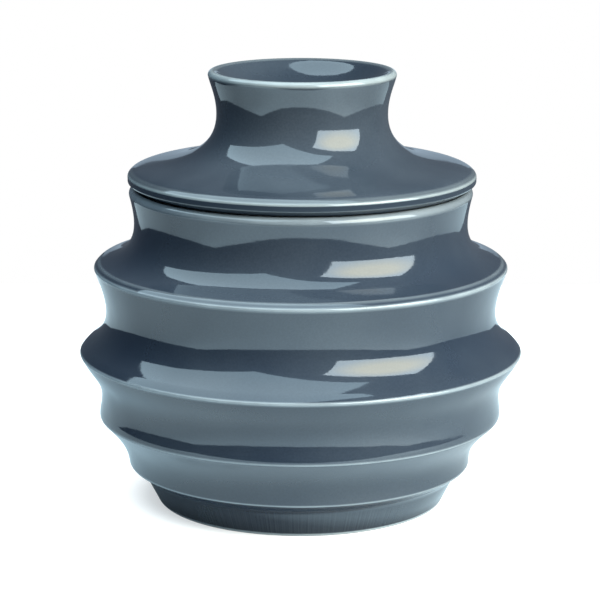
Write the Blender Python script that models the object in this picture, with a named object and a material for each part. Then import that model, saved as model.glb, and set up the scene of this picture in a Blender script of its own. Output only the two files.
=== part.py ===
"""A glazed ceramic canister with a lift-off lid, in metres with +Z up.

The jar stands on z = 0 and both pieces turn about the Z axis. Their outer sides are soft ridges joined by
hollow coves. The lid rests on the jar's lip, and a spigot under its brim drops into the mouth to centre it.
"""

import math
from collections import namedtuple

import bmesh
import bpy
import numpy as np

# Jar: outer radii, from the lip down to the foot
LIP_RADIUS = 0.0790
SHOULDER_RADIUS = 0.0955
BELLY_RADIUS = 0.1025
WAIST_RADIUS = 0.0934
HEEL_RADIUS = 0.0797
FOOT_TOP_RADIUS = 0.0733
FOOT_RADIUS = 0.0670

# Jar: heights, each measured up from the one before it
FOOT_HEIGHT = 0.0130
HEEL_RISE = 0.0045
WAIST_RISE = 0.0226
BELLY_RISE = 0.0306
SHOULDER_RISE = 0.0393
LIP_RISE = 0.0371

# Jar: walls, mouth, floor and the ring it stands on
JAR_WALL = 0.0045
LIP_WIDTH = 0.0065
LIP_INNER_ROUND = 0.0010
INNER_SOFTENING = 0.0040
BASE_THICKNESS = 0.0050
FLOOR_FILLET = 0.0080
FOOT_RING_WIDTH = 0.0070
FOOT_RECESS = 0.0025

# Rounding of the outer edges
RIDGE_ROUND = 0.0012
FLARE_ROUND = 0.0008
LIP_ROUND = 0.0028
FOOT_ROUND = 0.0008
KNOB_ROUND = 0.0020
KNOB_INNER_ROUND = 0.0044
BRIM_TOP_ROUND = 0.0018
BRIM_UNDER_ROUND = 0.0011
SPIGOT_ROUND = 0.0010

# Lid: what shows above the jar
KNOB_RADIUS = 0.0431
NECK_RADIUS = 0.0393
BRIM_OVERHANG = 0.0010
BRIM_LIFT = 0.0022
BRIM_STRAIGHT = 0.0020
NECK_RISE = 0.0332
KNOB_RISE = 0.0200
DISH_DEPTH = 0.0137

# Lid: wall, hollow underside and the spigot that centres it
LID_WALL = 0.0045
CEILING_FILLET = 0.0050
SPIGOT_DEPTH = 0.0100
SPIGOT_WALL = 0.0045

# Clearances between the two pieces
SEAT_GAP = 0.0003
SPIGOT_CLEARANCE = 0.0012

# Facets
SEGMENTS = 48
RIDGE_STEPS = 3
ROUND_STEPS = 3
COVE_PITCH = 0.0058
FINE_PITCH = 0.0005
INNER_LEVELS = 18
SMOOTH_ANGLE = math.radians(40)

# A cove runs from an upper edge down to a lower one. The leans are its angles from the vertical at its ends,
# inward going down at the top and outward going down at the bottom. The pulls say how far each end's
# direction holds, as shares of the straight distance.
Cove = namedtuple("Cove", "lean_top lean_bottom pull_top pull_bottom")
COLLAR_COVE = Cove(lean_top=14, lean_bottom=74, pull_top=0.49, pull_bottom=0.47)
SHOULDER_COVE = Cove(lean_top=19, lean_bottom=63, pull_top=0.20, pull_bottom=0.54)
BELLY_COVE = Cove(lean_top=28, lean_bottom=10, pull_top=0.41, pull_bottom=0.57)
WAIST_COVE = Cove(lean_top=52, lean_bottom=-8, pull_top=0.55, pull_bottom=0.46)
KNOB_COVE = Cove(lean_top=13, lean_bottom=0, pull_top=0.24, pull_bottom=0.44)
LID_COVE = Cove(lean_top=0, lean_bottom=53, pull_top=0.52, pull_bottom=0.17)
HEEL_LEAN = 60
FLARE_LEAN = 45
UNDERCUT_LEAN = 60

# The dish: how far it leans down where it leaves the rim, and how far its ends' directions hold
DISH_LEAN = 30
DISH_PULL_RIM = 0.15
DISH_PULL_MIDDLE = 0.72


def jar_height():
    """Height of the lip's flat top, which carries the lid."""
    return FOOT_HEIGHT + HEEL_RISE + WAIST_RISE + BELLY_RISE + SHOULDER_RISE + LIP_RISE


def arc(centre, radius, first, last, steps):
    """Points on a circle, from one angle to another in degrees above the outward direction."""
    angles = np.radians(np.linspace(first, last, steps + 1))
    return [(centre[0] + radius * math.cos(a), centre[1] + radius * math.sin(a)) for a in angles]


def cubic(start, start_handle, end_handle, end, steps):
    """Points strictly between the ends of a cubic curve."""
    points = []
    for step in range(1, steps):
        t = step / steps
        weights = ((1 - t) ** 3, 3 * t * (1 - t) ** 2, 3 * t * t * (1 - t), t ** 3)
        ends = (start, start_handle, end_handle, end)
        points.append(tuple(sum(w * p[axis] for w, p in zip(weights, ends)) for axis in (0, 1)))
    return points


def cove_points(upper, lower, cove, pitch):
    """The hollow between the end of one rounded edge and the start of the next one down."""
    reach = math.dist(upper, lower)
    steps = max(3, round(reach / pitch))
    top, bottom = math.radians(cove.lean_top), math.radians(cove.lean_bottom)
    top_pull, bottom_pull = cove.pull_top * reach, cove.pull_bottom * reach
    top_handle = (upper[0] - top_pull * math.sin(top), upper[1] - top_pull * math.cos(top))
    bottom_handle = (lower[0] - bottom_pull * math.sin(bottom), lower[1] + bottom_pull * math.cos(bottom))
    return cubic(upper, top_handle, bottom_handle, lower, steps)


def ridge(radius, height, lean_above, lean_below):
    """A rounded crest whose sides run on into the coves above and below it. A small flare first turns out a cove
    that comes down steeply."""
    shoulder = max(lean_above, FLARE_LEAN)
    crest = arc((radius - RIDGE_ROUND, height), RIDGE_ROUND, shoulder, -lean_below, RIDGE_STEPS)
    if lean_above >= FLARE_LEAN:
        return crest
    turn = math.radians(FLARE_LEAN)
    centre = (crest[0][0] + FLARE_ROUND * math.cos(turn), crest[0][1] + FLARE_ROUND * math.sin(turn))
    return arc(centre, FLARE_ROUND, 180 + lean_above, 180 + FLARE_LEAN, RIDGE_STEPS - 1)[:-1] + crest


def jar_outside(pitch):
    """The jar's outer side, from the outer edge of the lip's flat top down to the foot's standing ring."""
    heel_height = FOOT_HEIGHT + HEEL_RISE
    waist_height = heel_height + WAIST_RISE
    belly_height = waist_height + BELLY_RISE
    shoulder_height = belly_height + SHOULDER_RISE
    lip_centre = (LIP_RADIUS - LIP_ROUND, jar_height() - LIP_ROUND)
    edges = [
        arc(lip_centre, LIP_ROUND, 90, -COLLAR_COVE.lean_top, RIDGE_STEPS + 1),
        ridge(SHOULDER_RADIUS, shoulder_height, COLLAR_COVE.lean_bottom, SHOULDER_COVE.lean_top),
        ridge(BELLY_RADIUS, belly_height, SHOULDER_COVE.lean_bottom, BELLY_COVE.lean_top),
        ridge(WAIST_RADIUS, waist_height, BELLY_COVE.lean_bottom, WAIST_COVE.lean_top),
        ridge(HEEL_RADIUS, heel_height, WAIST_COVE.lean_bottom, HEEL_LEAN),
    ]
    side = list(edges[0])
    for cove, edge in zip((COLLAR_COVE, SHOULDER_COVE, BELLY_COVE, WAIST_COVE), edges[1:]):
        side += cove_points(side[-1], edge[0], cove, pitch)
        side += edge
    side.append((FOOT_TOP_RADIUS, FOOT_HEIGHT))
    side += arc((FOOT_RADIUS - FOOT_ROUND, FOOT_ROUND), FOOT_ROUND, -30, -90, ROUND_STEPS - 1)
    return side


def dense(side):
    """The same line with extra points along its straight stretches."""
    points = []
    for (r0, z0), (r1, z1) in zip(side, side[1:]):
        points += [(r0 + (r1 - r0) * t, z0 + (z1 - z0) * t) for t in np.linspace(0, 1, ROUND_STEPS, False)]
    return np.array(points + [side[-1]])


def wall_radius(side, level):
    """Radius inside the jar at a level, one wall's thickness square to the outer side."""
    drop = np.abs(side[:, 1] - level)
    near = drop < JAR_WALL
    return float(np.min(side[near, 0] - np.sqrt(JAR_WALL ** 2 - drop[near] ** 2)))


def soft_wall_radius(side, level):
    """The same radius averaged over nearby levels, since the inside follows the ridges only softly."""
    levels = np.linspace(level - INNER_SOFTENING, level + INNER_SOFTENING, 2 * ROUND_STEPS + 1)
    return float(np.mean([wall_radius(side, near) for near in levels]))


def throat_radius():
    """Radius of the straight mouth: the lip's width, or less where the collar's wall stands further in."""
    side = dense(jar_outside(FINE_PITCH))
    levels = np.linspace(jar_height() - SPIGOT_DEPTH - JAR_WALL, jar_height() - JAR_WALL, INNER_LEVELS)
    return min([LIP_RADIUS - LIP_WIDTH] + [wall_radius(side, level) for level in levels])


def jar_inside():
    """The jar's inner side, from the middle of its floor up to the inner edge of the lip's flat top."""
    side = dense(jar_outside(FINE_PITCH))
    floor = FOOT_RECESS + BASE_THICKNESS
    mouth = throat_radius()
    throat_bottom = jar_height() - SPIGOT_DEPTH - JAR_WALL
    points = [(0.0, floor)]
    for turn in np.radians(np.linspace(0, 75, ROUND_STEPS + 1)):
        level = floor + FLOOR_FILLET * (1 - math.cos(turn))
        points.append((soft_wall_radius(side, level) - FLOOR_FILLET * (1 - math.sin(turn)), level))
    for level in np.linspace(floor + FLOOR_FILLET, throat_bottom, INNER_LEVELS):
        points.append((soft_wall_radius(side, level), level))
    points.append((mouth, throat_bottom + JAR_WALL))
    inner_edge = (mouth + LIP_INNER_ROUND, jar_height() - LIP_INNER_ROUND)
    points += arc(inner_edge, LIP_INNER_ROUND, 180, 90, ROUND_STEPS)
    return points


def jar_profile():
    """The jar's closed section, from the axis on its floor over the lip to the axis on its underside."""
    ring_inner = FOOT_RADIUS - FOOT_RING_WIDTH
    underside = [
        (ring_inner, 0.0),
        (ring_inner - FOOT_RECESS, FOOT_RECESS),
        (0.0, FOOT_RECESS),
    ]
    return jar_inside() + jar_outside(COVE_PITCH) + underside


def lid_neck_side(pitch):
    """The lid's side from under the knob's rim down to the brim's edge, above the seat."""
    top = NECK_RISE + KNOB_RISE
    brim_radius = LIP_RADIUS + BRIM_OVERHANG
    rim_centre = (KNOB_RADIUS - KNOB_ROUND, top - KNOB_ROUND)
    rim = arc(rim_centre, KNOB_ROUND, -KNOB_COVE.lean_top, -KNOB_COVE.lean_top, 0)
    brim_centre = (brim_radius - BRIM_TOP_ROUND, BRIM_LIFT + BRIM_UNDER_ROUND + BRIM_STRAIGHT)
    brim = arc(brim_centre, BRIM_TOP_ROUND, LID_COVE.lean_bottom, 0, ROUND_STEPS)
    neck = (NECK_RADIUS, NECK_RISE)
    side = rim + cove_points(rim[-1], neck, KNOB_COVE, pitch) + [neck]
    return side + cove_points(neck, brim[0], LID_COVE, pitch) + brim


def lid_hollow(spigot_inner):
    """The lid's inner side, from the spigot to the middle of the ceiling: its outer side moved in by the wall."""
    side = np.array(lid_neck_side(FINE_PITCH))
    along = np.gradient(side, axis=0)
    along /= np.linalg.norm(along, axis=1)[:, None]
    inner = side + LID_WALL * np.stack([along[:, 1], -along[:, 0]], axis=1)
    ceiling = NECK_RISE + KNOB_RISE - DISH_DEPTH - LID_WALL
    shoulder = inner[np.argmin(inner[:, 0]):np.argmax(inner[:, 0]) + 1]
    meeting_level = float(np.interp(spigot_inner, shoulder[:, 0], shoulder[:, 1]))
    inner = inner[(inner[:, 1] < ceiling - CEILING_FILLET) & (inner[:, 0] < spigot_inner)][::-1]
    places = np.arange(len(inner) - 1, 0, -round(COVE_PITCH / FINE_PITCH))[::-1]
    points = [(spigot_inner, meeting_level)] + [(float(r), float(z)) for r, z in inner[places]]
    corner = (points[-1][0] - CEILING_FILLET, ceiling - CEILING_FILLET)
    return points + arc(corner, CEILING_FILLET, 0, 90, ROUND_STEPS)[1:] + [(0.0, ceiling)]


def knob_top():
    """The knob's top, from the middle of its dish over the rim to the outside."""
    top = NECK_RISE + KNOB_RISE
    rim_radius = KNOB_RADIUS - KNOB_ROUND
    inner = arc((rim_radius, top - KNOB_INNER_ROUND), KNOB_INNER_ROUND, 90 + DISH_LEAN, 90, ROUND_STEPS - 1)
    outer = arc((rim_radius, top - KNOB_ROUND), KNOB_ROUND, 90, -KNOB_COVE.lean_top, RIDGE_STEPS + 1)
    rim = inner[:-1] + outer
    middle = (0.0, top - DISH_DEPTH)
    reach, slope = rim[0][0], math.radians(DISH_LEAN)
    middle_handle = (DISH_PULL_MIDDLE * reach, middle[1])
    rim_pull = DISH_PULL_RIM * reach
    rim_handle = (rim[0][0] - rim_pull * math.cos(slope), rim[0][1] - rim_pull * math.sin(slope))
    return [middle] + cubic(middle, middle_handle, rim_handle, rim[0], round(reach / COVE_PITCH)) + rim


def lid_profile():
    """The lid's closed section above its seat, from the axis in the dish to the axis under the ceiling. Under its
    edge the brim is cut away down to the flat that rests on the lip."""
    side = lid_neck_side(COVE_PITCH)
    under_centre = (LIP_RADIUS + BRIM_OVERHANG - BRIM_UNDER_ROUND, BRIM_LIFT + BRIM_UNDER_ROUND)
    under = arc(under_centre, BRIM_UNDER_ROUND, 0, -UNDERCUT_LEAN, RIDGE_STEPS)
    under.append((LIP_RADIUS - LIP_ROUND, 0.0))
    spigot_outer = throat_radius() - SPIGOT_CLEARANCE
    spigot_inner = spigot_outer - SPIGOT_WALL
    outer_edge = (spigot_outer - SPIGOT_ROUND, SPIGOT_ROUND - SPIGOT_DEPTH)
    inner_edge = (spigot_inner + SPIGOT_ROUND, SPIGOT_ROUND - SPIGOT_DEPTH)
    spigot = [(spigot_outer, 0.0)] + arc(outer_edge, SPIGOT_ROUND, 0, -90, ROUND_STEPS - 1)
    spigot += arc(inner_edge, SPIGOT_ROUND, -90, -180, ROUND_STEPS - 1)
    return knob_top() + side[1:] + under + spigot + lid_hollow(spigot_inner)


def glaze(name, colour, roughness):
    """A plain glossy glaze."""
    material = bpy.data.materials.new(name)
    material.use_nodes = True
    shader = material.node_tree.nodes["Principled BSDF"]
    shader.inputs["Base Color"].default_value = (*colour, 1.0)
    shader.inputs["Roughness"].default_value = roughness
    shader.inputs["Metallic"].default_value = 0.0
    return material


def turned(name, profile, material):
    """A closed solid made by turning a section, which starts and ends on the axis, about the Z axis."""
    shape = bmesh.new()
    points = [shape.verts.new((r, 0.0, z)) for r, z in profile]
    line = [shape.edges.new(pair) for pair in zip(points, points[1:])]
    bmesh.ops.spin(
        shape,
        geom=points + line,
        cent=(0.0, 0.0, 0.0),
        axis=(0.0, 0.0, 1.0),
        angle=math.tau,
        steps=SEGMENTS,
        use_merge=True,
    )
    bmesh.ops.remove_doubles(shape, verts=shape.verts, dist=1e-6)
    bmesh.ops.recalc_face_normals(shape, faces=shape.faces)
    mesh = bpy.data.meshes.new(name)
    shape.to_mesh(mesh)
    shape.free()
    mesh.shade_smooth()
    mesh.set_sharp_from_angle(angle=SMOOTH_ANGLE)
    mesh.materials.append(material)
    piece = bpy.data.objects.new(name, mesh)
    bpy.context.collection.objects.link(piece)
    return piece


def build_jar():
    """The jar body, standing on its foot ring at the origin."""
    return turned("jar_body", jar_profile(), glaze("jar_glaze", (0.062, 0.090, 0.122), 0.12))


def build_lid():
    """The lid, hung from an empty on the axis at the level of its seat, along which it lifts."""
    seat = bpy.data.objects.new("lid_seat", None)
    seat.location = (0.0, 0.0, jar_height() + SEAT_GAP)
    bpy.context.collection.objects.link(seat)
    lid = turned("lid", lid_profile(), glaze("lid_glaze", (0.066, 0.094, 0.126), 0.12))
    lid.parent = seat
    return lid


for old in list(bpy.data.objects):
    bpy.data.objects.remove(old, do_unlink=True)
build_jar()
build_lid()
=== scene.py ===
"""A glossy slate-blue ceramic canister with a lift-off lid, on a white table in a soft studio.

Two finely turned shells stand for the plain solids and follow their sizes, in metres with +Z up. They add
gently rounded faces on the ridges and the brim, slow waves in the walls and a slight sway. The glaze is
thinner and paler on the edges, which also carry a painted highlight, and finely streaked down the foot. The
foot's bottom edge is paler still, partly the glaze and partly a painted reflection of the table. The clay is
bare where the pieces rest on the table and on each other.
"""

import math
from collections import namedtuple

import bpy
import numpy as np
from mathutils import Matrix, Vector, noise


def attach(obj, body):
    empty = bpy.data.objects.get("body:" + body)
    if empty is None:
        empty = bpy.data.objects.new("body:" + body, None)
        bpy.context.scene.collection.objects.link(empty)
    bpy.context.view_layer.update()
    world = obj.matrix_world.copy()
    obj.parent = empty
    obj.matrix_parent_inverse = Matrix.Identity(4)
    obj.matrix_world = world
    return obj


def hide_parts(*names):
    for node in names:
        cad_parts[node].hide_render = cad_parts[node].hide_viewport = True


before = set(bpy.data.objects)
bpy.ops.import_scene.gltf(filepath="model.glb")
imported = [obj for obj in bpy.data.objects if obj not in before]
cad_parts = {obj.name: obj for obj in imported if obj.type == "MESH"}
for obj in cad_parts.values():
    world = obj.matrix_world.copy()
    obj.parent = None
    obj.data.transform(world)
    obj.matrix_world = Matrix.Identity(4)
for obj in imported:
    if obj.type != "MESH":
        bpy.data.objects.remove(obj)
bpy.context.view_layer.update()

# Jar: outer radii, from the lip down to the foot
LIP_RADIUS = 0.0790
SHOULDER_RADIUS = 0.0955
BELLY_RADIUS = 0.1025
WAIST_RADIUS = 0.0934
HEEL_RADIUS = 0.0797
FOOT_TOP_RADIUS = 0.0733
FOOT_RADIUS = 0.0670

# Jar: heights, each measured up from the one before it
FOOT_HEIGHT = 0.0130
HEEL_RISE = 0.0050
WAIST_RISE = 0.0228
BELLY_RISE = 0.0295
SHOULDER_RISE = 0.0397
LIP_RISE = 0.0371

# Jar: walls, mouth, floor and the ring it stands on
JAR_WALL = 0.0045
LIP_WIDTH = 0.0065
LIP_INNER_ROUND = 0.0010
INNER_SOFTENING = 0.0040
BASE_THICKNESS = 0.0050
FLOOR_FILLET = 0.0080
FLOOR_FILLET_TURN = 75
FOOT_RING_WIDTH = 0.0070
FOOT_RECESS = 0.0025

# Rounding of the edges
ROLL_ROUND = 0.0040
LIP_ROUND = 0.0028
FOOT_ROUND = 0.0008
KNOB_ROUND = 0.0020
KNOB_INNER_ROUND = 0.0044
BRIM_UNDER_ROUND = 0.0011
SPIGOT_ROUND = 0.0010

# Lid: what shows above the jar
KNOB_RADIUS = 0.0431
NECK_RADIUS = 0.0393
BRIM_OVERHANG = 0.0010
BRIM_LIFT = 0.0019
BRIM_STRAIGHT = 0.0019
NECK_RISE = 0.0332
KNOB_RISE = 0.0200
DISH_DEPTH = 0.0137

# Lid: wall, hollow underside and the spigot that centres it
LID_WALL = 0.0045
CEILING_FILLET = 0.0050
SPIGOT_DEPTH = 0.0100
SPIGOT_WALL = 0.0045

# Clearances between the two pieces
SEAT_GAP = 0.0003
SPIGOT_CLEARANCE = 0.0012

# Fineness of the turned surfaces, and how near a level a point counts as lying on it
SEGMENTS = 192
EDGE_STEPS = 10
COVE_PITCH = 0.0011
COVE_LEAST_STEPS = 3
INNER_LEVELS = 60
SOFTENING_LEVELS = 9
FLAT_STEPS = 8
SHORT_STEPS = 4
HEEL_STEPS = 3
ON_LEVEL = 0.0001

# A cove runs from an upper edge down to a lower one. The leans are its angles from the vertical at its ends,
# inward going down at the top and outward going down at the bottom. The pulls say how far each end's
# direction holds, as shares of the straight distance.
Cove = namedtuple("Cove", "lean_top lean_bottom pull_top pull_bottom")
COLLAR_COVE = Cove(lean_top=15, lean_bottom=78, pull_top=0.54, pull_bottom=0.46)
SHOULDER_COVE = Cove(lean_top=21, lean_bottom=56, pull_top=0.53, pull_bottom=0.40)
BELLY_COVE = Cove(lean_top=28, lean_bottom=10, pull_top=0.41, pull_bottom=0.50)
WAIST_COVE = Cove(lean_top=46, lean_bottom=-5, pull_top=0.44, pull_bottom=0.34)
KNOB_COVE = Cove(lean_top=13, lean_bottom=0, pull_top=0.24, pull_bottom=0.44)
LID_COVE = Cove(lean_top=0, lean_bottom=53, pull_top=0.52, pull_bottom=0.17)

# How far the surface leans in under the lowest ridge, down the foot and under the brim, in degrees
HEEL_LEAN = 50
FOOT_LEAN = 30
UNDERCUT_LEAN = 60

# A ridge has a gently rounded face over a tight rounding. The leans say how far the face's two ends look up,
# in degrees. The two widest ridges and the brim turn their faces up, and the two lower ones stand nearly
# upright.
Ridge = namedtuple("Ridge", "face lean_top lean_bottom rounding")
SHOULDER_RIDGE = Ridge(face=0.0020, lean_top=50, lean_bottom=37, rounding=0.0012)
BELLY_RIDGE = Ridge(face=0.0040, lean_top=50, lean_bottom=37, rounding=0.0012)
WAIST_RIDGE = Ridge(face=0.0034, lean_top=10, lean_bottom=-2, rounding=0.0012)
HEEL_RIDGE = Ridge(face=0.0010, lean_top=-5, lean_bottom=-8, rounding=0.0010)
BRIM_RIDGE = Ridge(face=0.0015, lean_top=50, lean_bottom=37, rounding=0.0018)

# The dish: how far it leans down where it leaves the rim, and how far its ends' directions hold
DISH_LEAN = 30
DISH_PULL_RIM = 0.15
DISH_PULL_MIDDLE = 0.72

# How far the pieces stand from a true axis to one side: the jar most of all at its waist, the lid as a whole
JAR_SWAY = -0.0009
JAR_SWAY_LEVEL = 0.027
JAR_SWAY_SPREAD = 0.012
LID_SWAY = 0.0005

# Waves in the walls, full from half the belly's radius outward
WARP_DEPTH = 0.00016
WARP_LENGTH = 0.045
WARP_GAIN = 1.4
WARP_FULL_RADIUS = BELLY_RADIUS / 2

# Crests: how widely a turn in the surface tells, and which turn per metre is a full crest. One counts in
# full down to the first facing and not at all from the second, where 0 is a wall and -1 faces straight down.
CREST_BLUR = 0.0005
CREST_FULL = 800.0
CREST_FACING_FULL = -0.25
CREST_FACING_NONE = -0.85

# A value that goes from low to high while another goes from start to end
Fade = namedtuple("Fade", "start end low high")
# Crests are painted paler: partly the glaze running thinner, partly a painted highlight
THIN_AND_HIGHLIGHT_BY_CREST = Fade(start=0.15, end=0.6, low=0.0, high=1.0)
DEEPENED_BY_CREST = Fade(start=-0.3, end=-0.9, low=0.0, high=1.0)

# Glaze and clay colours
Glaze = namedtuple("Glaze", "deep mid thin grain_shift")
JAR_GLAZE = Glaze(
    deep=(0.014, 0.021, 0.033),
    mid=(0.023, 0.031, 0.043),
    thin=(0.18, 0.21, 0.23),
    grain_shift=0.0,
)
LID_GLAZE = Glaze(
    deep=(0.017, 0.024, 0.034),
    mid=(0.031, 0.040, 0.052),
    thin=(0.20, 0.23, 0.24),
    grain_shift=3.7,
)
# The foot's bottom edge: paler glaze with a painted reflection of the table
FOOT_EDGE_PALE_AND_REFLECTION = (0.42, 0.48, 0.52)
SPECKLE_DARK = (0.90, 0.91, 0.92)
SPECKLE_LIGHT = (1.08, 1.07, 1.06)
CLAY_LIGHT = (0.52, 0.46, 0.38)
CLAY_DARK = (0.40, 0.34, 0.27)

# Grain of the glaze and the clay: scales in cycles per metre, depths in metres, shares, and where soft noise
# mostly lies
DRIFT_SCALE = 16.0
SPECKLE_SCALE = 1100.0
THIN_AND_HIGHLIGHT_SCALE = 60.0
THIN_AND_HIGHLIGHT_LEAST = 0.75
STREAKS_PER_RADIAN = 90.0
STREAK_SHARE = 0.1
STREAK_FADE = 0.004
CLAY_SCALE = 700.0
CLAY_EDGE_SCALE = 420.0
CLAY_EDGE_WANDER = 0.25
CLAY_BY_EDGE = Fade(start=0.35, end=0.6, low=0.0, high=1.0)
CLAY_MARGIN = 0.0012
POLISH_SCALE = 130.0
RIPPLE_SCALE = 38.0
RIPPLE_DEPTH = 0.00035
SKIN_SCALE = 480.0
SKIN_DEPTH = 0.000012
NOISE_LOW = 0.3
NOISE_HIGH = 0.7
DRIFT_BY_NOISE = Fade(start=0.36, end=0.64, low=0.0, high=1.0)
STREAKS_BY_NOISE = Fade(start=0.35, end=0.65, low=0.0, high=1.0)

# Gloss
GLAZE_IOR = 1.56
GLAZE_ROUGHNESS_LEAST = 0.045
GLAZE_ROUGHNESS_MOST = 0.085
CLAY_ROUGHNESS = 0.85

# Camera, as fitted to the photograph
CAMERA_PLACE = (-0.0003, -1.1557, 0.3576)
CAMERA_PITCH = math.radians(12.89)
CAMERA_ROLL = 0.002
CAMERA_LENS = 153.2
SENSOR_WIDTH = 36.0

# Table: its edges and its paint
TABLE_LEFT = -0.43
TABLE_RIGHT = 0.47
TABLE_FRONT = -0.29
TABLE_BACK = 0.45
TABLE_PAINT = (0.45, 0.45, 0.44)
TABLE_PAINT_DARKER = 0.98
TABLE_PAINT_SCALE = 9.0
TABLE_ROUGHNESS = 0.6

# Table: its glow. For the camera it dims only at the foot. In the glaze it changes with the distance from
# the axis, toward the front and toward the right.
CONTACT_SHADOW_LEAN = 0.008
HALO_INNER = FOOT_RADIUS - 0.004
HALO_OUTER = FOOT_RADIUS + 0.010
TABLE_GLOW_NEAR = (0.5, 0.5, 0.5)
TABLE_GLOW_FAR = (0.9, 0.9, 0.9)
TABLE_PAINT_IN_GLAZE = (0.20, 0.21, 0.22)
TABLE_GLOW_IN_GLAZE = (1.17, 1.65, 1.90)
TABLE_BOUNCE = 0.55
OUT_OF_THE_SHADOW = Fade(start=0.0725, end=0.0775, low=0.0, high=0.85)
AWAY_FROM_THE_FOOT = Fade(start=0.082, end=0.105, low=1.0, high=0.88)
BACK_TO_MIDDLE = Fade(start=0.02, end=-0.10, low=0.5, high=0.9)
MIDDLE_TO_FRONT = Fade(start=-0.12, end=-0.27, low=1.0, high=1.9)
LEFT_TO_RIGHT = Fade(start=-0.3, end=0.3, low=0.9, high=1.1)

# Softboxes: how far from the bright spot a face keeps its colour, and from where on it has its rim's, as
# shares of its sides
FACE_BRIGHT_REACH = 0.22
FACE_RIM_REACH = 0.55

# Key light and room
KEY_PLACE = (0.45, -0.45, 0.75)
KEY_SIZE = 0.5
KEY_WATTS = 13.0
KEY_COLOUR = (1.00, 0.97, 0.91)
ROOM_LEFT = (0.05, 0.06, 0.08)
ROOM_RIGHT = (0.17, 0.20, 0.24)
ROOM_REACH = 0.8

# Places of the colours among a mixing node's sockets
MIX_FIRST = 6
MIX_SECOND = 7
MIX_RESULT = 2


def jar_height():
    """Height of the lip's flat top, which carries the lid."""
    return FOOT_HEIGHT + HEEL_RISE + WAIST_RISE + BELLY_RISE + SHOULDER_RISE + LIP_RISE


def seat_height():
    """Height of the lid's seat, just clear of the lip."""
    return jar_height() + SEAT_GAP


def brim_height():
    """Height above the seat where the brim's upright edge ends and its top starts to turn in."""
    return BRIM_LIFT + BRIM_UNDER_ROUND + BRIM_STRAIGHT


def arc(centre, radius, first, last, steps):
    """Points on a circle, from one angle to another in degrees above the outward direction."""
    angles = np.radians(np.linspace(first, last, steps + 1))
    return [(centre[0] + radius * math.cos(a), centre[1] + radius * math.sin(a)) for a in angles]


def line(start, end, steps):
    """Points along a straight stretch, without its ends."""
    shares = np.linspace(0, 1, steps + 1)[1:-1]
    return [(start[0] + (end[0] - start[0]) * t, start[1] + (end[1] - start[1]) * t) for t in shares]


def cubic(start, start_handle, end_handle, end, steps):
    """Points strictly between the ends of a cubic curve."""
    t = np.linspace(0, 1, steps + 1)[1:-1, None]
    ends = [np.array(point) for point in (start, start_handle, end_handle, end)]
    weights = ((1 - t) ** 3, 3 * t * (1 - t) ** 2, 3 * t * t * (1 - t), t ** 3)
    return [tuple(point) for point in sum(w * p for w, p in zip(weights, ends))]


def cove_points(upper, lower, cove):
    """The hollow between the end of one rounded edge and the start of the next one down."""
    reach = math.dist(upper, lower)
    top, bottom = math.radians(cove.lean_top), math.radians(cove.lean_bottom)
    top_pull, bottom_pull = cove.pull_top * reach, cove.pull_bottom * reach
    top_handle = (upper[0] - top_pull * math.sin(top), upper[1] - top_pull * math.cos(top))
    bottom_handle = (lower[0] - bottom_pull * math.sin(bottom), lower[1] + bottom_pull * math.cos(bottom))
    steps = max(COVE_LEAST_STEPS, round(reach / COVE_PITCH))
    return cubic(upper, top_handle, bottom_handle, lower, steps)


def arc_onto(end, radius, first, last):
    """An arc that leads down onto a point, from one angle to another, without that point."""
    turn = math.radians(last)
    centre = (end[0] - radius * math.cos(turn), end[1] - radius * math.sin(turn))
    return arc(centre, radius, first, last, EDGE_STEPS)[:-1]


def ridge(radius, height, shape, cove, last):
    """A ridge from the end of the cove above it down to an angle under it. Where that cove comes out flatter
    than the ridge's face, it rolls over to it."""
    edge = arc((radius - shape.rounding, height), shape.rounding, shape.lean_bottom, last, EDGE_STEPS)
    face_radius = shape.face / math.radians(shape.lean_top - shape.lean_bottom)
    edge = arc_onto(edge[0], face_radius, shape.lean_top, shape.lean_bottom) + edge
    if cove.lean_bottom > shape.lean_top:
        edge = arc_onto(edge[0], ROLL_ROUND, cove.lean_bottom, shape.lean_top) + edge
    return edge


def jar_outside():
    """The jar's outer side, from the outer edge of the lip's flat top down to the foot's standing ring."""
    heel_height = FOOT_HEIGHT + HEEL_RISE
    waist_height = heel_height + WAIST_RISE
    belly_height = waist_height + BELLY_RISE
    shoulder_height = belly_height + SHOULDER_RISE
    lip_centre = (LIP_RADIUS - LIP_ROUND, jar_height() - LIP_ROUND)
    edges = [
        ridge(SHOULDER_RADIUS, shoulder_height, SHOULDER_RIDGE, COLLAR_COVE, -SHOULDER_COVE.lean_top),
        ridge(BELLY_RADIUS, belly_height, BELLY_RIDGE, SHOULDER_COVE, -BELLY_COVE.lean_top),
        ridge(WAIST_RADIUS, waist_height, WAIST_RIDGE, BELLY_COVE, -WAIST_COVE.lean_top),
        ridge(HEEL_RADIUS, heel_height, HEEL_RIDGE, WAIST_COVE, -HEEL_LEAN),
    ]
    side = arc(lip_centre, LIP_ROUND, 90, -COLLAR_COVE.lean_top, EDGE_STEPS)
    for cove, edge in zip((COLLAR_COVE, SHOULDER_COVE, BELLY_COVE, WAIST_COVE), edges):
        side += cove_points(side[-1], edge[0], cove) + edge
    foot_top = (FOOT_TOP_RADIUS, FOOT_HEIGHT)
    foot = arc((FOOT_RADIUS - FOOT_ROUND, FOOT_ROUND), FOOT_ROUND, -FOOT_LEAN, -90, EDGE_STEPS // 2)
    side += line(side[-1], foot_top, HEEL_STEPS) + [foot_top]
    return side + line(foot_top, foot[0], FLAT_STEPS) + foot


def wall_radius(side, level):
    """Radius inside the jar at a level, one wall's thickness square to the outer side."""
    drop = np.abs(side[:, 1] - level)
    near = drop < JAR_WALL
    return float(np.min(side[near, 0] - np.sqrt(JAR_WALL ** 2 - drop[near] ** 2)))


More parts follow.
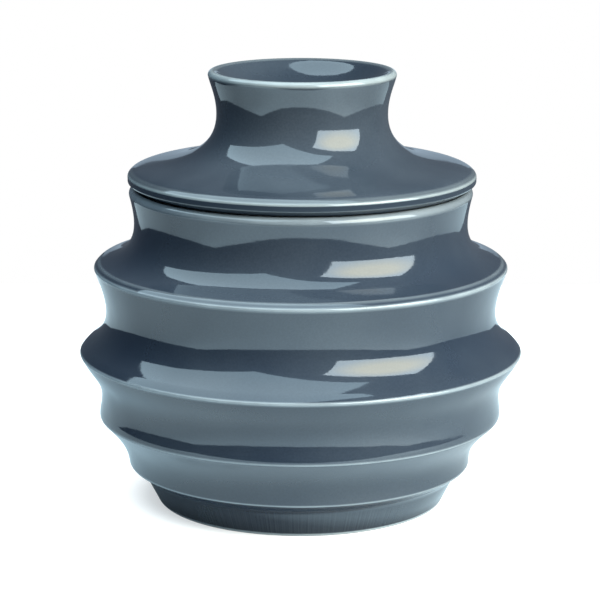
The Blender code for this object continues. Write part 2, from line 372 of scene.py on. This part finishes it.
def soft_wall_radius(side, level):
    """The same radius averaged over nearby levels, since the inside follows the ridges only softly."""
    levels = np.linspace(level - INNER_SOFTENING, level + INNER_SOFTENING, SOFTENING_LEVELS)
    return float(np.mean([wall_radius(side, near) for near in levels]))


def throat_radius():
    """Radius of the straight mouth: the lip's width, or less where the collar's wall stands further in."""
    side = np.array(jar_outside())
    levels = np.linspace(jar_height() - SPIGOT_DEPTH - JAR_WALL, jar_height() - JAR_WALL, INNER_LEVELS)
    return min([LIP_RADIUS - LIP_WIDTH] + [wall_radius(side, level) for level in levels])


def jar_inside():
    """The jar's inner side, from the middle of its floor up to the inner edge of the lip's flat top."""
    side = np.array(jar_outside())
    floor = FOOT_RECESS + BASE_THICKNESS
    mouth = throat_radius()
    throat_bottom = jar_height() - SPIGOT_DEPTH - JAR_WALL
    corner = []
    for turn in np.radians(np.linspace(0, FLOOR_FILLET_TURN, EDGE_STEPS + 1)):
        level = floor + FLOOR_FILLET * (1 - math.cos(turn))
        corner.append((soft_wall_radius(side, level) - FLOOR_FILLET * (1 - math.sin(turn)), level))
    points = [(0.0, floor)] + line((0.0, floor), corner[0], FLAT_STEPS) + corner
    for level in np.linspace(floor + FLOOR_FILLET, throat_bottom, INNER_LEVELS):
        points.append((soft_wall_radius(side, level), level))
    points.append((mouth, throat_bottom + JAR_WALL))
    lip_centre = (mouth + LIP_INNER_ROUND, jar_height() - LIP_INNER_ROUND)
    lip = arc(lip_centre, LIP_INNER_ROUND, 180, 90, EDGE_STEPS // 2)
    return points + line(points[-1], lip[0], FLAT_STEPS) + lip


def jar_section():
    """The jar's closed section, from the axis on its floor over the lip to the axis on its underside."""
    inside, outside = jar_inside(), jar_outside()
    ring_inner = FOOT_RADIUS - FOOT_RING_WIDTH
    recess = (ring_inner - FOOT_RECESS, FOOT_RECESS)
    section = inside + line(inside[-1], outside[0], FLAT_STEPS) + outside
    section += line(section[-1], (ring_inner, 0.0), FLAT_STEPS) + [(ring_inner, 0.0)]
    section += line(section[-1], recess, SHORT_STEPS) + [recess]
    return section + line(recess, (0.0, FOOT_RECESS), FLAT_STEPS) + [(0.0, FOOT_RECESS)]


def knob_top():
    """The knob's top, from the middle of its dish over the rim to the outside."""
    top = NECK_RISE + KNOB_RISE
    rim_radius = KNOB_RADIUS - KNOB_ROUND
    inner = arc((rim_radius, top - KNOB_INNER_ROUND), KNOB_INNER_ROUND, 90 + DISH_LEAN, 90, EDGE_STEPS)
    outer = arc((rim_radius, top - KNOB_ROUND), KNOB_ROUND, 90, -KNOB_COVE.lean_top, 2 * EDGE_STEPS)
    rim = inner[:-1] + outer
    middle = (0.0, top - DISH_DEPTH)
    reach, slope = rim[0][0], math.radians(DISH_LEAN)
    middle_handle = (DISH_PULL_MIDDLE * reach, middle[1])
    rim_pull = DISH_PULL_RIM * reach
    rim_handle = (rim[0][0] - rim_pull * math.cos(slope), rim[0][1] - rim_pull * math.sin(slope))
    return [middle] + cubic(middle, middle_handle, rim_handle, rim[0], round(reach / COVE_PITCH)) + rim


def lid_side():
    """The lid's side from under the knob's rim down to the brim's edge, above the seat."""
    rim = knob_top()[-1]
    neck = (NECK_RADIUS, NECK_RISE)
    brim = ridge(LIP_RADIUS + BRIM_OVERHANG, brim_height(), BRIM_RIDGE, LID_COVE, 0)
    side = [rim] + cove_points(rim, neck, KNOB_COVE) + [neck]
    return side + cove_points(neck, brim[0], LID_COVE) + brim


def lid_hollow(spigot_inner):
    """The lid's inner side, from the spigot to the middle of the ceiling, one wall inside its outer side."""
    side = np.array(lid_side())
    along = np.gradient(side, axis=0)
    along /= np.linalg.norm(along, axis=1)[:, None]
    inner = side + LID_WALL * np.stack([along[:, 1], -along[:, 0]], axis=1)
    ceiling = NECK_RISE + KNOB_RISE - DISH_DEPTH - LID_WALL
    shoulder = inner[np.argmin(inner[:, 0]):np.argmax(inner[:, 0]) + 1]
    meeting_level = float(np.interp(spigot_inner, shoulder[:, 0], shoulder[:, 1]))
    inner = inner[(inner[:, 1] < ceiling - CEILING_FILLET) & (inner[:, 0] < spigot_inner)][::-1]
    points = [(spigot_inner, meeting_level)] + [(float(r), float(z)) for r, z in inner[1:]]
    corner = (points[-1][0] - CEILING_FILLET, ceiling - CEILING_FILLET)
    points += arc(corner, CEILING_FILLET, 0, 90, EDGE_STEPS)[1:]
    return points + line(points[-1], (0.0, ceiling), FLAT_STEPS) + [(0.0, ceiling)]


def lid_section():
    """The lid's closed section above its seat, from the axis in the dish to the axis under the ceiling.
    Under its edge the brim is cut away down to the flat that rests on the lip."""
    side = knob_top() + lid_side()[1:]
    under_centre = (LIP_RADIUS + BRIM_OVERHANG - BRIM_UNDER_ROUND, BRIM_LIFT + BRIM_UNDER_ROUND)
    under = arc(under_centre, BRIM_UNDER_ROUND, 0, -UNDERCUT_LEAN, EDGE_STEPS)
    seat_edge = (LIP_RADIUS - LIP_ROUND, 0.0)
    section = side + line(side[-1], under[0], FLAT_STEPS) + under
    section += line(under[-1], seat_edge, SHORT_STEPS) + [seat_edge]
    spigot_outer = throat_radius() - SPIGOT_CLEARANCE
    spigot_inner = spigot_outer - SPIGOT_WALL
    rounded = SPIGOT_ROUND - SPIGOT_DEPTH
    spigot = arc((spigot_outer - SPIGOT_ROUND, rounded), SPIGOT_ROUND, 0, -90, EDGE_STEPS // 2)
    spigot += arc((spigot_inner + SPIGOT_ROUND, rounded), SPIGOT_ROUND, -90, -180, EDGE_STEPS // 2)
    hollow = lid_hollow(spigot_inner)
    section += line(section[-1], (spigot_outer, 0.0), FLAT_STEPS) + [(spigot_outer, 0.0)]
    section += line(section[-1], spigot[0], FLAT_STEPS) + spigot
    return section + line(spigot[-1], hollow[0], FLAT_STEPS) + hollow


def crests(section):
    """How sharply the surface turns outward at each point, from 1 on a full ridge to -1 in a tight corner.
    The crests are painted paler, partly as thinner glaze and partly as a painted highlight. Well under an
    edge the glaze gathers again and no highlight is painted, so that does not count as a ridge."""
    steps = np.diff(section, axis=0)
    heading = np.unwrap(np.arctan2(steps[:, 1], steps[:, 0]))
    turning = np.concatenate([[0.0], -np.diff(heading), [0.0]])
    along = np.concatenate([[0.0], np.cumsum(np.linalg.norm(steps, axis=1))])
    blur = np.exp(-0.5 * ((along[:, None] - along[None, :]) / CREST_BLUR) ** 2)
    density = blur @ turning / (CREST_BLUR * math.sqrt(math.tau)) / CREST_FULL
    facing_up = np.gradient(np.array(section)[:, 0], along)
    shed = (facing_up - CREST_FACING_NONE) / (CREST_FACING_FULL - CREST_FACING_NONE)
    counted = density * np.clip(shed, 0.0, 1.0)
    return np.clip(np.where(density > 0, counted, density), -1.0, 1.0)


def warp(angle, height):
    """How far the wall stands in from a true circle, since no fired pot is perfectly round."""
    spot = Vector((math.cos(angle), math.sin(angle), 0.0)) * BELLY_RADIUS / WARP_LENGTH
    spot.z = height / WARP_LENGTH
    wave = max(-1.0, min(1.0, WARP_GAIN * noise.noise(spot)))
    return WARP_DEPTH * (0.5 + 0.5 * wave)


def turned_faces(rings):
    """The faces between a first point, rings of points and a last point."""
    last = 1 + rings * SEGMENTS
    faces = []
    for s in range(SEGMENTS):
        t = (s + 1) % SEGMENTS
        faces.append((0, 1 + s, 1 + t))
        for ring in range(rings - 1):
            near, far = 1 + ring * SEGMENTS, 1 + (ring + 1) * SEGMENTS
            faces.append((near + s, far + s, far + t, near + t))
        end = last - SEGMENTS
        faces.append((end + s, last, end + t))
    return faces


def turned(name, section, base_height, bare, deepened, sway):
    """A closed smooth solid turned from a section that starts and ends on the axis. It sways to one side as
    it rises. Its points know the crests, which are painted paler with a painted highlight, or the opposite
    where the glaze is deep in colour, and where the clay is bare."""
    crest = [-1.0 if deepened(r, z) else value for (r, z), value in zip(section, crests(section))]
    angles = np.arange(SEGMENTS) * math.tau / SEGMENTS
    rows = [0] + [row for row in range(1, len(section) - 1) for _ in angles] + [len(section) - 1]
    turns = [0.0] + list(angles) * (len(section) - 2) + [0.0]
    points = []
    for row, angle in zip(rows, turns):
        r, z = section[row]
        reach = max(0.0, r - warp(angle, base_height + z) * min(1.0, r / WARP_FULL_RADIUS))
        points.append((reach * math.cos(angle) + sway(z), reach * math.sin(angle), base_height + z))
    mesh = bpy.data.meshes.new(name)
    mesh.from_pydata(points, [], turned_faces(len(section) - 2))
    mesh.shade_smooth()
    values = {"crest": crest, "bare": [float(bare(r, z)) for r, z in section]}
    for attribute, by_row in values.items():
        data = mesh.attributes.new(attribute, "FLOAT", "POINT").data
        data.foreach_set("value", [by_row[row] for row in rows])
    piece = bpy.data.objects.new(name, mesh)
    bpy.context.collection.objects.link(piece)
    return piece


def add(tree, kind, inputs=None, **settings):
    """A shader node with its settings and its inputs, each a value or another node's output."""
    node = tree.nodes.new(kind)
    for setting, value in settings.items():
        setattr(node, setting, value)
    for key, value in (inputs or {}).items():
        if isinstance(value, bpy.types.NodeSocket):
            tree.links.new(value, node.inputs[key])
        else:
            node.inputs[key].default_value = value
    return node


def ramp(tree, value, stops):
    """Colour read from a value through stops of (position, colour)."""
    node = add(tree, "ShaderNodeValToRGB", {"Fac": value})
    while len(node.color_ramp.elements) < len(stops):
        node.color_ramp.elements.new(0.5)
    for element, (position, colour) in zip(node.color_ramp.elements, stops):
        element.position = position
        element.color = (*colour, 1.0)
    return node.outputs["Color"]


def blend(tree, share, first, second, mode="MIX"):
    """Two colours mixed by a share."""
    node = add(tree, "ShaderNodeMix", {"Factor": share}, data_type="RGBA", blend_type=mode)
    for place, value in ((MIX_FIRST, first), (MIX_SECOND, second)):
        if isinstance(value, bpy.types.NodeSocket):
            tree.links.new(value, node.inputs[place])
        else:
            node.inputs[place].default_value = (*value, 1.0)
    return node.outputs[MIX_RESULT]


def remap(tree, value, low, high, new_low=0.0, new_high=1.0):
    """A value's range moved to another, and held within it."""
    inputs = {"Value": value, "From Min": low, "From Max": high, "To Min": new_low, "To Max": new_high}
    return add(tree, "ShaderNodeMapRange", inputs).outputs["Result"]


def calc(tree, operation, first, second):
    """Arithmetic on two values."""
    return add(tree, "ShaderNodeMath", {0: first, 1: second}, operation=operation).outputs[0]


def product(tree, first, *others):
    """Values multiplied together."""
    for other in others:
        first = calc(tree, "MULTIPLY", first, other)
    return first


def moved(tree, place, offset, operation="ADD"):
    """A place moved by an offset."""
    return add(tree, "ShaderNodeVectorMath", {0: place, 1: offset}, operation=operation).outputs[0]


def length(tree, place):
    """Distance of a place from the origin."""
    return add(tree, "ShaderNodeVectorMath", {0: place}, operation="LENGTH").outputs["Value"]


def grain(tree, place, scale, detail=2.0):
    """Soft noise at a scale in cycles per metre."""
    inputs = {"Vector": place, "Scale": scale, "Detail": detail}
    return add(tree, "ShaderNodeTexNoise", inputs).outputs["Fac"]


def spread(tree, value, new_low=0.0, new_high=1.0):
    """Soft noise stretched over a whole range."""
    return remap(tree, value, NOISE_LOW, NOISE_HIGH, new_low, new_high)


def glaze_colour(tree, glaze, local, place):
    """Slate-blue glaze that drifts and speckles. It is paler over the crests, where it runs thinner and a
    highlight is painted on, and palest on the foot's bottom edge, partly paler glaze and partly a painted
    reflection of the table. It is deep where it pools in tight hollows, deep also on the brim's upright
    edge, and finely streaked down the foot."""
    crest = add(tree, "ShaderNodeAttribute", attribute_name="crest").outputs["Fac"]
    axes = add(tree, "ShaderNodeSeparateXYZ", {0: local}).outputs
    drift = remap(tree, grain(tree, place, DRIFT_SCALE, detail=3.0), *DRIFT_BY_NOISE)
    colour = blend(tree, drift, glaze.deep, glaze.mid)
    speckle = grain(tree, place, SPECKLE_SCALE, detail=1.0)
    speckles = ramp(tree, speckle, [(NOISE_LOW, SPECKLE_DARK), (NOISE_HIGH, SPECKLE_LIGHT)])
    colour = blend(tree, 1.0, colour, speckles, "MULTIPLY")
    wander = spread(tree, grain(tree, place, THIN_AND_HIGHLIGHT_SCALE), THIN_AND_HIGHLIGHT_LEAST, 1.0)
    # Painted highlight: the crests are painted paler, partly thinner glaze and partly a highlight
    thin = product(tree, remap(tree, crest, *THIN_AND_HIGHLIGHT_BY_CREST), wander)
    colour = blend(tree, thin, colour, glaze.thin)
    # Painted reflection: the foot's bottom edge is painted pale, partly paler glaze and partly the table's
    # reflection
    foot_edge_pale_and_reflection = remap(tree, axes["Z"], 2 * FOOT_ROUND, FOOT_ROUND)
    colour = blend(tree, foot_edge_pale_and_reflection, colour, FOOT_EDGE_PALE_AND_REFLECTION)
    # Tight hollows and the brim's upright edge take the deep glaze colour
    deepened = remap(tree, crest, *DEEPENED_BY_CREST)
    colour = blend(tree, deepened, colour, glaze.deep)
    turn = calc(tree, "ARCTAN2", axes["Y"], axes["X"])
    round_it = {"X": calc(tree, "MULTIPLY", turn, STREAKS_PER_RADIAN), "Y": axes["Z"]}
    streaks = grain(tree, add(tree, "ShaderNodeCombineXYZ", round_it).outputs[0], 1.0, detail=1.0)
    on_foot = remap(tree, axes["Z"], FOOT_HEIGHT + STREAK_FADE, FOOT_HEIGHT - STREAK_FADE)
    streaked = product(tree, remap(tree, streaks, *STREAKS_BY_NOISE), on_foot, STREAK_SHARE)
    return blend(tree, streaked, colour, glaze.thin)


def bare_clay(tree, place):
    """Where the clay is bare, with a ragged edge."""
    bare = add(tree, "ShaderNodeAttribute", attribute_name="bare").outputs["Fac"]
    ragged = grain(tree, place, CLAY_EDGE_SCALE)
    ragged = remap(tree, ragged, 0.0, 1.0, -CLAY_EDGE_WANDER, CLAY_EDGE_WANDER)
    return remap(tree, calc(tree, "ADD", bare, ragged), *CLAY_BY_EDGE)


def glazed_relief(tree, place):
    """Slow ripples in the glaze and a fine skin over them."""
    ripple = {"Height": grain(tree, place, RIPPLE_SCALE, detail=1.0), "Distance": RIPPLE_DEPTH}
    rippled = add(tree, "ShaderNodeBump", {"Strength": 1.0, **ripple}).outputs[0]
    skin = {"Height": grain(tree, place, SKIN_SCALE), "Distance": SKIN_DEPTH, "Normal": rippled}
    return add(tree, "ShaderNodeBump", {"Strength": 1.0, **skin}).outputs[0]


def glaze_material(name, glaze):
    """Glossy glaze, with bare clay where nothing glazed rests."""
    material = bpy.data.materials.new(name)
    material.use_nodes = True
    tree = material.node_tree
    tree.nodes.clear()
    local = add(tree, "ShaderNodeTexCoord").outputs["Object"]
    place = moved(tree, local, (glaze.grain_shift, 0.0, 0.0))
    clay_share = bare_clay(tree, place)
    clay = blend(tree, spread(tree, grain(tree, place, CLAY_SCALE)), CLAY_DARK, CLAY_LIGHT)
    colour = blend(tree, clay_share, glaze_colour(tree, glaze, local, place), clay)
    polish = grain(tree, place, POLISH_SCALE, detail=3.0)
    polish = spread(tree, polish, GLAZE_ROUGHNESS_LEAST, GLAZE_ROUGHNESS_MOST)
    inputs = {"Factor": clay_share, "A": polish, "B": CLAY_ROUGHNESS}
    roughness = add(tree, "ShaderNodeMix", inputs, data_type="FLOAT").outputs["Result"]
    relief = glazed_relief(tree, place)
    inputs = {"Base Color": colour, "Roughness": roughness, "Normal": relief, "IOR": GLAZE_IOR}
    shader = add(tree, "ShaderNodeBsdfPrincipled", inputs)
    add(tree, "ShaderNodeOutputMaterial", {"Surface": shader.outputs[0]})
    return material


def build_jar():
    """The glazed jar. Its lip's flat top inside the rounding and its standing ring are bare clay."""
    def bare(r, z):
        on_lip = z > jar_height() - ON_LEVEL and r < LIP_RADIUS - LIP_ROUND - CLAY_MARGIN
        on_ring = z < ON_LEVEL and r < FOOT_RADIUS - FOOT_ROUND / 2
        return on_lip or on_ring

    def deepened(r, z):
        return False

    def sway(z):
        return JAR_SWAY * math.exp(-((z - JAR_SWAY_LEVEL) / JAR_SWAY_SPREAD) ** 2)

    jar = turned("jar_shell", jar_section(), 0.0, bare, deepened, sway)
    jar.data.materials.append(glaze_material("jar_glaze_look", JAR_GLAZE))
    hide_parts("jar_body")
    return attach(jar, "jar")


def build_lid():
    """The glazed lid. The flat that rests on the lip is bare clay, and the brim's upright edge is deep in
    colour.
    """
    def bare(r, z):
        return abs(z) < ON_LEVEL and r < LIP_RADIUS - LIP_ROUND - CLAY_MARGIN

    # The brim's upright edge is given the deep glaze colour
    def deepened(r, z):
        return BRIM_LIFT + BRIM_UNDER_ROUND / 2 < z < brim_height() and r > LIP_RADIUS

    def sway(z):
        return LID_SWAY

    lid = turned("lid_shell", lid_section(), seat_height(), bare, deepened, sway)
    lid.data.materials.append(glaze_material("lid_glaze_look", LID_GLAZE))
    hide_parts("lid")
    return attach(lid, "lid")


def table_glow_in_glaze(tree, place, reach, to_diffuse):
    """The table's glow in the glaze: dark close to the foot, brightest in front, and dimmer in the soft
    light that it casts than in its mirror image."""
    axes = add(tree, "ShaderNodeSeparateXYZ", {0: place}).outputs
    share = product(
        tree,
        remap(tree, reach, *OUT_OF_THE_SHADOW),
        remap(tree, reach, *AWAY_FROM_THE_FOOT),
        remap(tree, axes["Y"], *BACK_TO_MIDDLE),
        remap(tree, axes["Y"], *MIDDLE_TO_FRONT),
        remap(tree, axes["X"], *LEFT_TO_RIGHT),
        remap(tree, to_diffuse, 0.0, 1.0, 1.0, TABLE_BOUNCE),
    )
    return blend(tree, share, (0.0, 0.0, 0.0), TABLE_GLOW_IN_GLAZE)


def build_table():
    """A pale table whose front edge and sides end just outside the view, so that dark room shows beyond them
    in the glaze."""
    sides = (TABLE_LEFT, TABLE_RIGHT)
    front = [(x, TABLE_FRONT, 0.0) for x in sides]
    back = [(x, TABLE_BACK, 0.0) for x in reversed(sides)]
    mesh = bpy.data.meshes.new("table")
    mesh.from_pydata(front + back, [], [(0, 1, 2, 3)])
    table = bpy.data.objects.new("table", mesh)
    bpy.context.collection.objects.link(table)
    material = bpy.data.materials.new("table_paint")
    material.use_nodes = True
    tree = material.node_tree
    shader = tree.nodes["Principled BSDF"]
    shader.inputs["Roughness"].default_value = TABLE_ROUGHNESS
    shader.inputs["Emission Strength"].default_value = 1.0
    place = add(tree, "ShaderNodeTexCoord").outputs["Object"]
    reach = length(tree, moved(tree, place, (CONTACT_SHADOW_LEAN, 0.0, 0.0)))
    rays = add(tree, "ShaderNodeLightPath").outputs
    darker = tuple(TABLE_PAINT_DARKER * c for c in TABLE_PAINT)
    tone = grain(tree, place, TABLE_PAINT_SCALE, detail=3.0)
    paint = ramp(tree, tone, [(NOISE_LOW, darker), (NOISE_HIGH, TABLE_PAINT)])
    paint = blend(tree, rays["Is Camera Ray"], TABLE_PAINT_IN_GLAZE, paint)
    tree.links.new(paint, shader.inputs["Base Color"])
    shown = blend(tree, remap(tree, reach, HALO_INNER, HALO_OUTER), TABLE_GLOW_NEAR, TABLE_GLOW_FAR)
    seen = table_glow_in_glaze(tree, place, reach, rays["Is Diffuse Ray"])
    glow = blend(tree, rays["Is Camera Ray"], seen, shown)
    tree.links.new(glow, shader.inputs["Emission Color"])
    mesh.materials.append(material)


def softbox_face(tree, colour, rim_colour, bright_spot, corner):
    """A softbox's face, which fades from a bright spot to its rim. Its corner at (0, 1) is drawn in to
    another place on the face."""
    spot = add(tree, "ShaderNodeNewGeometry").outputs["Parametric"]
    reach = length(tree, moved(tree, spot, (*bright_spot, 0.0), "SUBTRACT"))
    stops = [(0.0, colour), (FACE_BRIGHT_REACH, colour), (FACE_RIM_REACH, rim_colour)]
    on_face = add(tree, "ShaderNodeSeparateXYZ", {0: spot}).outputs
    top_edge = remap(tree, on_face["X"], corner[0], 1.0, corner[1], 1.0)
    side_edge = remap(tree, on_face["Y"], corner[1] / 2, corner[1], 0.0, corner[0])
    below = calc(tree, "LESS_THAN", on_face["Y"], top_edge)
    beside = calc(tree, "GREATER_THAN", on_face["X"], side_edge)
    inputs = {"Color": ramp(tree, reach, stops), "Strength": product(tree, below, beside)}
    emission = add(tree, "ShaderNodeEmission", inputs)
    add(tree, "ShaderNodeOutputLight", {"Surface": emission.outputs[0]})


def build_softbox(
    name,
    centre,
    facing,
    along,
    width,
    height,
    watts,
    colour,
    rim_colour,
    bright_spot=(0.5, 0.5),
    corner=(0.0, 1.0),
):
    """A large soft light that shows in the glaze but not to the camera."""
    light = bpy.data.lights.new(name, "AREA")
    light.shape = "RECTANGLE"
    light.size, light.size_y = width, height
    light.energy = watts
    light.use_nodes = True
    light.node_tree.nodes.clear()
    softbox_face(light.node_tree, colour, rim_colour, bright_spot, corner)
    lamp = bpy.data.objects.new(name, light)
    back = -Vector(facing).normalized()
    side = (Vector(along) - back * back.dot(Vector(along))).normalized()
    turn = Matrix((side, back.cross(side), back)).transposed().to_4x4()
    lamp.matrix_world = Matrix.Translation(centre) @ turn
    lamp.visible_camera = False
    bpy.context.collection.objects.link(lamp)


def build_key():
    """A light from the upper right that shades the glaze without showing in it."""
    light = bpy.data.lights.new("key", "AREA")
    light.size = KEY_SIZE
    light.energy = KEY_WATTS
    light.color = KEY_COLOUR
    lamp = bpy.data.objects.new("key", light)
    away = Vector(KEY_PLACE) - Vector((0.0, 0.0, jar_height() / 2))
    lamp.matrix_world = Matrix.Translation(KEY_PLACE) @ away.to_track_quat("Z", "Y").to_matrix().to_4x4()
    lamp.visible_camera = False
    lamp.visible_glossy = False
    bpy.context.collection.objects.link(lamp)


def build_room():
    """White all round for the camera. In the glaze it is a dark room, a little lighter on the right."""
    world = bpy.data.worlds.new("studio")
    bpy.context.scene.world = world
    world.use_nodes = True
    tree = world.node_tree
    tree.nodes.clear()
    way = add(tree, "ShaderNodeTexCoord").outputs["Generated"]
    rightward = add(tree, "ShaderNodeSeparateXYZ", {0: way}).outputs["X"]
    room = blend(tree, remap(tree, rightward, -ROOM_REACH, ROOM_REACH), ROOM_LEFT, ROOM_RIGHT)
    to_camera = add(tree, "ShaderNodeLightPath").outputs["Is Camera Ray"]
    shown = blend(tree, to_camera, room, (1.0, 1.0, 1.0))
    background = add(tree, "ShaderNodeBackground", {"Color": shown, "Strength": 1.0})
    add(tree, "ShaderNodeOutputWorld", {"Surface": background.outputs[0]})


def build_camera():
    """A long lens a little above the lid, rolled by a hair as in the photograph."""
    camera = bpy.data.objects.new("camera", bpy.data.cameras.new("camera"))
    camera.data.lens = CAMERA_LENS
    camera.data.sensor_width = SENSOR_WIDTH
    tilt = Matrix.Rotation(math.pi / 2 - CAMERA_PITCH, 4, "X")
    roll = Matrix.Rotation(CAMERA_ROLL, 4, "Z")
    camera.matrix_world = Matrix.Translation(CAMERA_PLACE) @ tilt @ roll
    bpy.context.collection.objects.link(camera)
    bpy.context.scene.camera = camera


build_camera()
build_room()
build_table()
build_softbox(
    "front_softbox",
    centre=(1.062, -0.970, 0.909),
    facing=(-0.797, 0.575, -0.184),
    along=(0.585, 0.811, 0.0),
    width=1.80,
    height=1.50,
    watts=86.0,
    colour=(0.96, 0.96, 0.78),
    rim_colour=(0.62, 0.74, 0.80),
    bright_spot=(0.55, 0.5),
)
build_softbox(
    "overhead_panel",
    centre=(-0.458, 0.066, 1.647),
    facing=(0.406, 0.255, -0.878),
    along=(0.502, -0.865, -0.019),
    width=2.34,
    height=2.12,
    watts=61.0,
    colour=(0.67, 0.89, 1.00),
    rim_colour=(0.63, 0.87, 1.00),
    corner=(0.375, 0.8),
)
build_softbox(
    "back_panel",
    centre=(0.0, 1.60, 0.17),
    facing=(0.0, -1.0, 0.0),
    along=(1.0, 0.0, 0.0),
    width=0.70,
    height=0.34,
    watts=0.32,
    colour=(0.62, 0.82, 1.00),
    rim_colour=(0.62, 0.82, 1.00),
)
build_key()
build_jar()
build_lid()
bpy.context.scene.view_settings.view_transform = "Standard"
